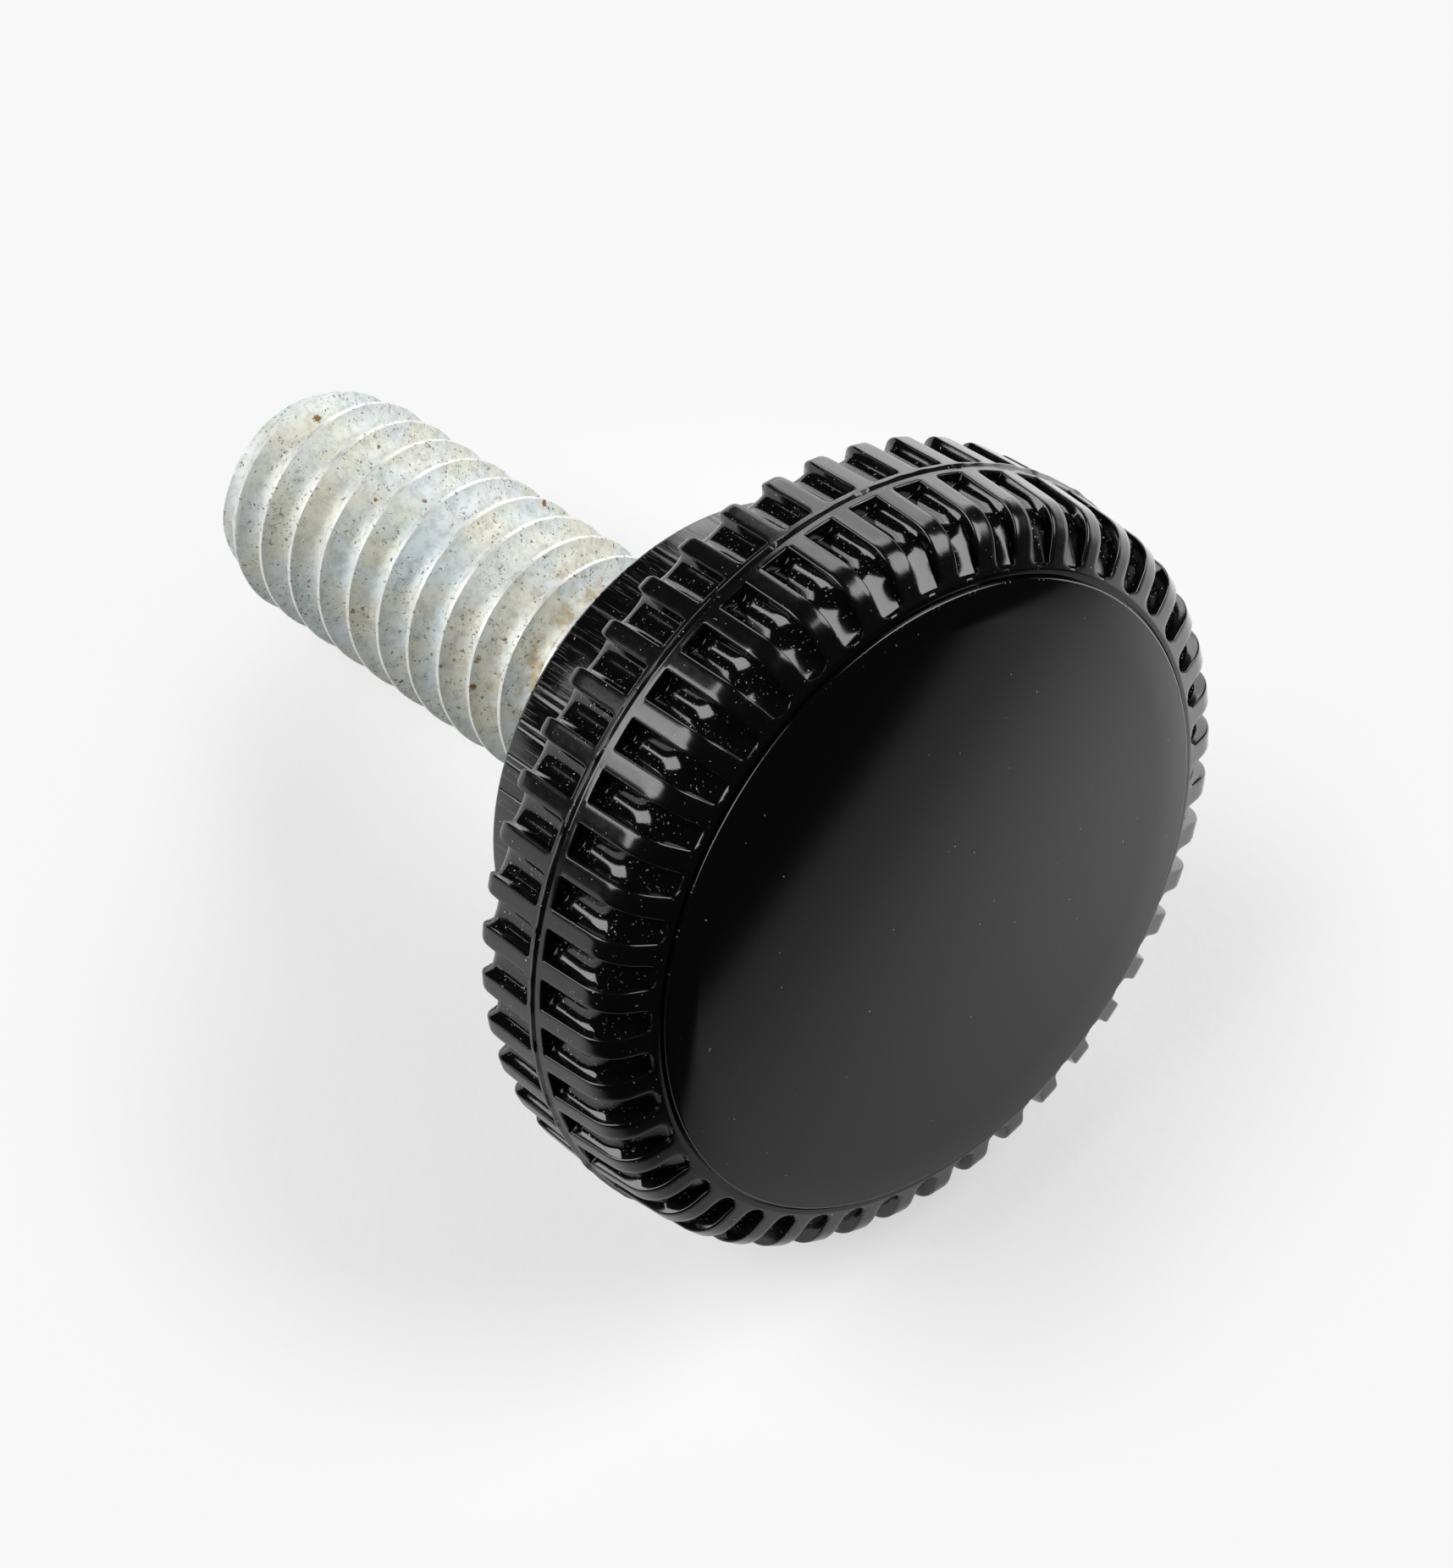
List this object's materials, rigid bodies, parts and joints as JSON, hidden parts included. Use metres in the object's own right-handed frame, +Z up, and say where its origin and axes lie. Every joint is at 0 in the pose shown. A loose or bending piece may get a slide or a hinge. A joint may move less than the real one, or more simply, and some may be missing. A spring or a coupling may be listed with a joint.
{
  "type": "clamping knob",
  "caption": "Round moulded clamping knob with a finely ribbed rim, a smooth disc face, a plain boss and a plated threaded stud to screw into a clamp.",
  "frame": {"origin": "on the floor under the middle of the knob as it lies at rest, at the bottom centre of its bounding box", "axes": "+Z up, +X towards the side that the disc face looks to, -X towards the stud's end; the knob's own axis lies in the XZ plane"},
  "size_m": [0.028, 0.021, 0.0206],
  "materials": {
    "knob": "gloss",
    "stud": "zinc plated"
  },
  "bodies": {
    "root": {"knob_head": "knob", "threaded_stud": "stud"}
  },
  "joints": []
}
